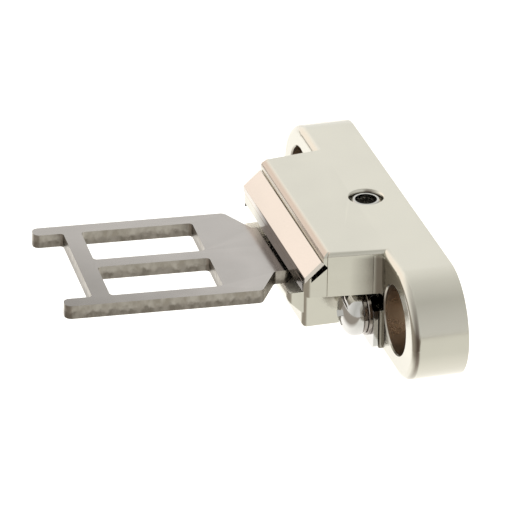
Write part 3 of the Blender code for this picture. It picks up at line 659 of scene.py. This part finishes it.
def make_key():
    """Forked blank about the swivel axis at its mid-thickness, with two windows."""
    wide, rail, neck, shank = 12.1, 9.8, 6.85, 4.8
    # distance ahead of the swivel axis, half width and corner radius
    half = [(-3.7, shank, 2.4), (3.3, shank, 0.8), (4.9, neck, 0.8), (6.7, neck, 0.6), (9.6, wide, 0.9),
            (37.5, wide, 1.0), (37.5, rail, 0.9), (33.3, rail, 0.5)]
    outline = [(-s, y, r) for s, y, r in half] + [(-s, -y, r) for s, y, r in reversed(half)]
    outlines = [rounded(outline, 8)]
    window_root, window_tip, corner = -14.7, -30.75, 0.6
    for side in (-1, 1):
        inner, outer = side * 1.15, side * rail
        outlines.append(rounded([(window_root, inner, corner), (window_root, outer, corner),
                                 (window_tip, outer, corner), (window_tip, inner, corner)], 8))
    outlines.append(circle(0, 0, 1.5, 48))
    key = extrude("key_blade", outlines, "Z", -1, 1)
    bevel(key, 0.14, 3, 60)
    key.matrix_world = (Matrix.Translation(Vector((SWIVEL_X, 0, KEY_MIDDLE_Z)) * MM)
                        @ Matrix.Rotation(-KEY_YAW, 4, "Z") @ Matrix.Rotation(KEY_PITCH, 4, "Y"))
    return finish_piece(key, "key", "key_steel", "key_plate")


def make_holder():
    """Block under the key's neck, with a sloping nose, a ledge on the far side and a tail behind."""
    width, top, bottom = 9.1, -1.15, -6.7
    nose_x, front, root = -19.3, -17.15, -16.15
    slant_top, slant_bottom = -2.4, -4.55

    def corner_share(a, b):
        """Full rounding on the upright front corners, less elsewhere."""
        if abs(a.x - b.x) > 0.01 or a.x > front + 0.01:
            return 0.15
        return 1.0 if abs(a.y - b.y) < 0.01 else 0.7

    def block(name, profile, low, high):
        return bevel(extrude(name, [profile], "Y", low, high), 0.8, 5, share=corner_share)

    holder = block("holder_body", [
        (front, top), (front, bottom), (-10.6, bottom), (-10.6, top)], -width, width)
    nose = block("holder_nose", [
        (nose_x, top), (nose_x, slant_top), (front, slant_bottom), (root, slant_bottom), (root, top - 0.01)],
        -8.85, 8.85)
    ledge = block("holder_ledge", [
        (nose_x, top), (nose_x, slant_top), (-17.4, -4.3), (-16.0, -4.3), (-16.0, top - 0.02)], 6.85, 13.5)
    tail = extrude("holder_tail", [[
        (-11.6, top), (-11.6, -5.8), (-9.9, -5.8), (-8.4, -4.2), (-7.6, -3.9), (-3.0, -3.9), (-3.0, -1.5),
        (-7.4, -1.5), (-8.2, top)]], "Y", -4.2, 4.2)
    join(holder, nose, ledge, tail)
    cutters = [
        lathe("swivel_bore", [(0, 9), (1.5, 9), (1.5, 1.05), (2.6, 1.05), (2.6, 0.15), (2.8, -0.05),
                              (2.8, -1), (0, -1)], (SWIVEL_X, 0, bottom), (0, 0, 1), 48),
        lathe("tilt_bore", [(0, 6), (1.05, 6), (1.05, -6), (0, -6)], (TILT_X, 0, TILT_Z), (0, 1, 0), 48)]
    for side in (-1, 1):
        near, far = sorted((side * 5.4, side * 7.0))
        cutters.append(box("ear_slot", (-12.55, near, -5.9), (-10.1, far, 0)))
        cutters.append(lathe("lock_bore", [
            (0, 8), (1.55, 8), (1.55, 0.15), (1.75, -0.05), (1.75, -1), (0, -1)],
            (LOCK_X, side * LOCK_Y, bottom), (0, 0, 1), 32))
    cut(holder, *cutters)
    return finish_piece(holder, "holder", "die_cast", "key_holder", look="holder")


def make_swivel_pin():
    """Rivet with a low domed head over the key and a groove for the clip at its lower end."""
    shank, groove = 1.2, 0.85
    pin = lathe("swivel_rivet", [
        (0, 2.5), (0.9, 2.5), (1.5, 2.44), (1.9, 2.3), (2.06, 2.12), (2.1, 2.0), (2.05, 1.95),
        (shank, 1.95), (shank, -5.8), (groove, -5.8), (groove, -6.3), (shank, -6.3), (shank, -6.38),
        (1.08, -6.5), (0, -6.5)], (SWIVEL_X, 0, 0), (0, 0, 1))
    return finish_piece(pin, "holder", "bright_steel", "swivel_pin")


def make_swivel_washer():
    """Thin spring ring with three waves, between the key and the rivet's head."""
    inner, outer, half_thick = 1.5, 2.1, 0.08
    middle, wave = 1.625, 0.09
    count, bm = 96, bmesh.new()
    rings = []
    for i in range(count):
        angle = 2 * math.pi * i / count
        lift = middle + wave * math.sin(3 * angle)
        ring = []
        for radius, height in ((inner, -half_thick), (outer, -half_thick), (outer, half_thick),
                               (inner, half_thick)):
            across = radius * math.cos(angle) * MM + SWIVEL_X * MM
            ring.append(bm.verts.new((across, radius * math.sin(angle) * MM, (lift + height) * MM)))
        rings.append(ring)
    for i in range(count):
        a, b = rings[i], rings[(i + 1) % count]
        for k in range(4):
            bm.faces.new((a[k], a[(k + 1) % 4], b[(k + 1) % 4], b[k]))
    washer = from_bmesh("swivel_wave_washer", bm)
    return finish_piece(washer, "key", "spring_steel", "swivel_washer")


def make_swivel_clip():
    """E-clip in the rivet's groove, under the holder, with its mouth towards the near side."""
    bore = 1.05
    clip = extrude("swivel_e_clip", [circle(SWIVEL_X, 0, 2.0, 48), circle(SWIVEL_X, 0, bore, 32)],
                   "Z", -6.2, -5.9)
    mouth = box("mouth", (SWIVEL_X - 0.95, -4, -8), (SWIVEL_X + 0.95, 0, -4))
    reliefs = [lathe("relief", [(0, 1), (0.28, 1), (0.28, -1), (0, -1)],
                     (SWIVEL_X + 1.2 * math.cos(a), 1.2 * math.sin(a), -6), (0, 0, 1), 16)
               for a in (math.radians(40), math.radians(140))]
    cut(clip, mouth, *reliefs)
    bevel(clip, 0.04, 2, 60)
    return finish_piece(clip, "holder", "dark_steel", "swivel_clip")


# ---------------------------------------------------------------- bracket, screws, washers, springs
def make_bracket():
    """Sheet with open slots for the clamp screws and the holder's tail, and ears for the tilt pin."""
    slot, ear_radius, chamfer = 2.3, 1.75, 0.6
    hook = [(CLAMP_Y + slot * math.cos(a), CLAMP_Z + slot * math.sin(a))
            for a in [math.radians(180 + 10 * step) for step in range(19)]]
    right = [(4.8, -5.6), (4.8, BRACKET_TOP), (CLAMP_Y - slot, BRACKET_TOP), *hook,
             (CLAMP_Y + slot, BRACKET_TOP), (BRACKET_HALF, BRACKET_TOP),
             (BRACKET_HALF, BRACKET_BOTTOM + chamfer), (BRACKET_HALF - chamfer, BRACKET_BOTTOM)]
    bracket = extrude("bracket_sheet", [right + [(-y, z) for y, z in reversed(right)]], "X", -9.25, -8.6)
    ear = [(TILT_X + ear_radius * math.cos(a), TILT_Z + ear_radius * math.sin(a))
           for a in [math.radians(90 + 10 * step) for step in range(19)]]
    ear += [(-8.9, -5.35), (-8.9, -1.85)]
    ears = []
    for side in (-1, 1):
        low, high = sorted((side * 5.9, side * 6.5))
        ears.append(extrude("ear", [ear, circle(TILT_X, TILT_Z, 1.0, 32)], "Y", low, high))
    join(bracket, *ears)
    bevel(bracket, 0.08, 2, 50)
    return finish_piece(bracket, "base", "bright_steel", "bracket")


def make_tilt_pin():
    """Cross pin in the bracket's two ears, with rounded ends."""
    end = 6.5
    pin = lathe("tilt_cross_pin", [
        (0, end), (0.5, end - 0.02), (0.75, end - 0.2), (0.75, 0.2 - end), (0.5, 0.02 - end), (0, -end)],
        (TILT_X, 0, TILT_Z), (0, 1, 0), 48)
    return finish_piece(pin, "base", "bright_steel", "tilt_pin")


def thread_profile(radius, start, end, pitch, depth):
    """Radii and heights of a thread's ridges, from height start down to end."""
    profile, height = [], start
    while height - pitch > end:
        profile += [(radius - depth, height - pitch * 0.1), (radius, height - pitch * 0.45),
                    (radius, height - pitch * 0.6), (radius - depth, height - pitch * 0.95)]
        height -= pitch
    return profile


def make_set_screw(name, node, top, down, radius, length, socket, pitch):
    """Set screw with a hexagon socket in the end at point top; down points to its tip."""
    up = [-c for c in down]
    screw = lathe(name, [(0, 0), (radius - 0.35, 0), (radius, -0.3)]
                  + thread_profile(radius, -0.35, 0.7 - length, pitch, radius * 0.11)
                  + [(radius, 0.6 - length), (radius - 0.6, -length), (0, -length)], top, up, 48)
    depth = length * 0.4
    hexagon = lathe("socket", [(0, 1), (socket, 1), (socket, -depth), (0, -depth - socket * 0.5)],
                    top, up, 6)
    mouth = lathe("mouth", [(0, 1), (socket * 1.06, 1), (socket * 1.04, 0), (socket * 0.99, -1.7), (0, -1.9)],
                  top, up, 48)
    cut(screw, hexagon, mouth)
    return finish_piece(screw, node, "dark_steel", node)


def cross_slot(under_head, turn):
    """Cutter for one of the two tapering slots of a cross recess, turned by turn degrees."""
    bm = bmesh.new()
    rims = []
    for level, long, thin in ((3.1, 1.95, 0.5), (1.2, 0.85, 0.26)):
        rims.append([bm.verts.new((a * long * MM, b * thin * MM, level * MM))
                     for a, b in ((-1, -1), (1, -1), (1, 1), (-1, 1))])
    upper, lower = rims
    bm.faces.new(upper)
    bm.faces.new(lower)
    for i in range(4):
        j = (i + 1) % 4
        bm.faces.new((upper[i], upper[j], lower[j], lower[i]))
    facing = Vector((-1, 0, 0)).to_track_quat("Z", "Y").to_matrix().to_4x4()
    bmesh.ops.transform(bm, verts=bm.verts, matrix=Matrix.Translation(Vector(under_head) * MM) @ facing
                        @ Matrix.Rotation(math.radians(turn), 4, "Z"))
    return from_bmesh("recess", bm)


def make_clamp_screw(side, word):
    """Pan-head screw with a threaded shank and a cross recess."""
    radius, height, shank = 3.45, 2.8, 2.0
    rim = 0.25              # height of the head's rim, as a share of the head's
    under_head = (-10.42, side * CLAMP_Y, CLAMP_Z)
    head = [(0, height)]
    for step in range(1, 19):
        angle = math.radians(5 * step)
        rise = height * (rim + (1 - rim) * max(0, math.cos(angle)) ** 0.9)
        head.append((radius * math.sin(angle) ** 0.92, rise))
    head += [(radius, 0.2), (radius - 0.15, 0.0), (shank, 0.0)]
    screw = lathe("pan_screw_" + word, head + thread_profile(shank, -0.6, -7.6, 0.7, 0.24)
                  + [(1.7, -7.9), (1.3, -8.3), (0, -8.3)], under_head, (-1, 0, 0))
    cut(screw, cross_slot(under_head, 28), cross_slot(under_head, 118))
    return finish_piece(screw, "base", "bright_steel", "clamp_screw_" + word, look="screw")


def make_split_washer(side, word):
    """Lock washer behind the screw's head, with a slanting slit through its upper side."""
    axis = (0, side * CLAMP_Y, CLAMP_Z)
    inner, outer, back, front = 2.25, 3.2, 9.83, 10.4
    lock = lathe("split_washer_" + word, [
        (outer, front - 0.08), (outer - 0.08, front), (inner + 0.08, front), (inner, front - 0.08),
        (inner, back + 0.08), (inner + 0.08, back), (outer - 0.08, back), (outer, back + 0.08)],
        axis, (-1, 0, 0))
    slit = box("slit", (-12, -0.22, 0), (-8, 0.22, 5))
    slit.matrix_world = Matrix.Translation(Vector(axis) * MM) @ Matrix.Rotation(math.radians(18), 4, "Z")
    cut(lock, slit)
    return finish_piece(lock, "base", "bright_steel", "spring_washer_" + word, look="ring")


def make_plain_washer(side, word):
    """Stamped washer between the lock washer and the bracket."""
    inner, outer, back, front = 2.25, 3.5, 9.27, 9.8
    flat = lathe("plain_washer_" + word, [
        (outer, front - 0.1), (outer - 0.08, front), (inner + 0.05, front), (inner, front - 0.05),
        (inner, back + 0.05), (inner + 0.05, back), (outer - 0.08, back), (outer, back + 0.08)],
        (0, side * CLAMP_Y, CLAMP_Z), (-1, 0, 0))
    return finish_piece(flat, "base", "bright_steel", "flat_washer_" + word, look="ring")


def make_spring(side, word):
    """Compression spring of round wire with closed ends, between the holder and the hood's roof."""
    low, high, wire, radius, turns = -0.85, 5.3, 0.22, 1.2, 7
    per_turn = 24
    closed = 0.10           # share of the wire at each end where the coils lie together
    lying = 0.07            # share of the height that each of those ends has

    def climb(t):
        """Share of the height reached after the share t of the wire."""
        if t < closed:
            return lying * t / closed
        if t > 1 - closed:
            return 1 - lying * (1 - t) / closed
        return lying + (1 - 2 * lying) * (t - closed) / (1 - 2 * closed)

    curve = bpy.data.curves.new("coil_" + word, "CURVE")
    curve.dimensions = "3D"
    curve.bevel_depth = wire * MM
    curve.bevel_resolution = 4
    curve.use_fill_caps = True
    spline = curve.splines.new("POLY")
    count = turns * per_turn
    spline.points.add(count)
    bottom, rise = low + wire, high - low - 2 * wire
    for index, point in enumerate(spline.points):
        angle = 2 * math.pi * index / per_turn
        x, y = SPRING_X + radius * math.cos(angle), side * SPRING_Y + radius * math.sin(angle)
        point.co = (x * MM, y * MM, (bottom + rise * climb(index / count)) * MM, 1)
    coil = bpy.data.objects.new("coil_" + word, curve)
    bpy.context.scene.collection.objects.link(coil)
    coil = apply_modifiers(coil)
    return finish_piece(coil, "base", "spring_steel", "tilt_spring_" + word)


make_housing()
make_front_plate()
make_key()
make_holder()
make_swivel_pin()
make_swivel_washer()
make_swivel_clip()
make_bracket()
make_tilt_pin()
make_set_screw("tilt_set_screw", "tilt_screw", (TILT_SCREW_X, 0, 7.45), (0, 0, -1),
               radius=2.2, length=8.65, socket=1.5, pitch=0.8)
for side, word in SIDES:
    make_set_screw("lock_set_screw_" + word, "lock_screw_" + word, (LOCK_X, side * LOCK_Y, -5.2), (0, 0, 1),
                   radius=1.25, length=4.0, socket=0.75, pitch=0.45)
    make_clamp_screw(side, word)
    make_split_washer(side, word)
    make_plain_washer(side, word)
    make_spring(side, word)


# ---------------------------------------------------------------- studio
def make_stage():
    """Lit white table well below the part: full white behind it, softer in front, greyer far left."""
    floor_z = -0.12         # metres, as are the floor's other places
    bm = bmesh.new()
    corners = [bm.verts.new((x, y, floor_z)) for x, y in ((-4, -4), (4, -4), (4, 4), (-4, 4))]
    bm.faces.new(corners)
    floor = from_bmesh("floor", bm)
    n = Nodes("pale_floor")
    place = n.split(n.place)
    cloud = n.ramp(n.noise(3, 2), -0.01, 0.01)
    behind = n.math("ADD", n.ramp(place["Y"], 0, 1, -0.16, 0.06), cloud)
    slanted = n.math("ADD", place["X"], n.math("MULTIPLY", place["Y"], 0.35))
    left = n.ramp(slanted, 0, 1, -0.20, -0.10)
    tone = n.mix(behind, (0.88, 0.89, 0.86), (0.93, 0.925, 0.915))
    n.wire(n.mix(left, (0.45, 0.41, 0.37), tone), n.shader.inputs["Base Color"])
    glow = n.math("MULTIPLY", n.ramp(behind, 0.16, 0.55, 0, 1), left)
    n.shader.inputs["Emission Color"].default_value = (1, 0.985, 0.965, 1)
    n.wire(glow, n.shader.inputs["Emission Strength"])
    n.shader.inputs["Roughness"].default_value = 0.9
    n.shader.inputs["Specular IOR Level"].default_value = 0.1
    floor.data.materials.append(n.material)


def make_world():
    """Soft tent: brightest and warmest behind the part to the left, dimmer above and in front."""
    world = bpy.data.worlds.new("studio")
    bpy.context.scene.world = world
    world.use_nodes = True
    tree = world.node_tree
    background = tree.nodes["Background"]
    coords = tree.nodes.new("ShaderNodeTexCoord")
    dot = tree.nodes.new("ShaderNodeVectorMath")
    dot.operation = "DOT_PRODUCT"
    dot.inputs[1].default_value = (-0.5, 0.8, 0.33)
    half = tree.nodes.new("ShaderNodeMapRange")
    half.inputs["From Min"].default_value = -1
    half.inputs["From Max"].default_value = 1
    ramp = tree.nodes.new("ShaderNodeValToRGB")
    tree.links.new(coords.outputs["Generated"], dot.inputs[0])
    tree.links.new(dot.outputs["Value"], half.inputs["Value"])
    tree.links.new(half.outputs["Result"], ramp.inputs["Fac"])
    tree.links.new(ramp.outputs["Color"], background.inputs["Color"])
    stops = ramp.color_ramp.elements
    stops[0].position, stops[0].color = 0.0, (0.54, 0.54, 0.53, 1)
    stops[1].position, stops[1].color = 1.0, (0.92, 0.84, 0.775, 1)
    for position, colour in ((0.40, (0.42, 0.42, 0.40)), (0.70, (0.56, 0.56, 0.54)),
                             (0.85, (0.71, 0.71, 0.69)), (0.94, (0.88, 0.85, 0.81))):
        stop = stops.new(position)
        stop.color = (*colour, 1)
    background.inputs["Strength"].default_value = 1.6


def make_camera():
    """Camera fitted to the object: angles in degrees, lengths in millimetres."""
    azimuth, elevation, roll = math.radians(-16.870), math.radians(27.233), math.radians(0.767)
    distance, right_shift, up_shift = 848.84, 20.54, 1.895
    back = Vector((math.sin(azimuth) * math.cos(elevation), -math.cos(azimuth) * math.cos(elevation),
                   math.sin(elevation)))
    right = Vector((math.cos(azimuth), math.sin(azimuth), 0))
    up = back.cross(right)
    across = right * math.cos(roll) + up * math.sin(roll)
    above = up * math.cos(roll) - right * math.sin(roll)
    centre = back * distance - across * right_shift - above * up_shift
    data = bpy.data.cameras.new("camera")
    data.sensor_width = 36.0
    data.lens = 423.9
    data.clip_start, data.clip_end = 0.01, 20
    camera = bpy.data.objects.new("camera", data)
    bpy.context.scene.collection.objects.link(camera)
    turn = Matrix((across, above, back)).transposed().to_4x4()
    camera.matrix_world = Matrix.Translation(centre * MM) @ turn
    bpy.context.scene.camera = camera


make_stage()
make_world()
make_camera()
bpy.context.scene.view_settings.view_transform = "Standard"
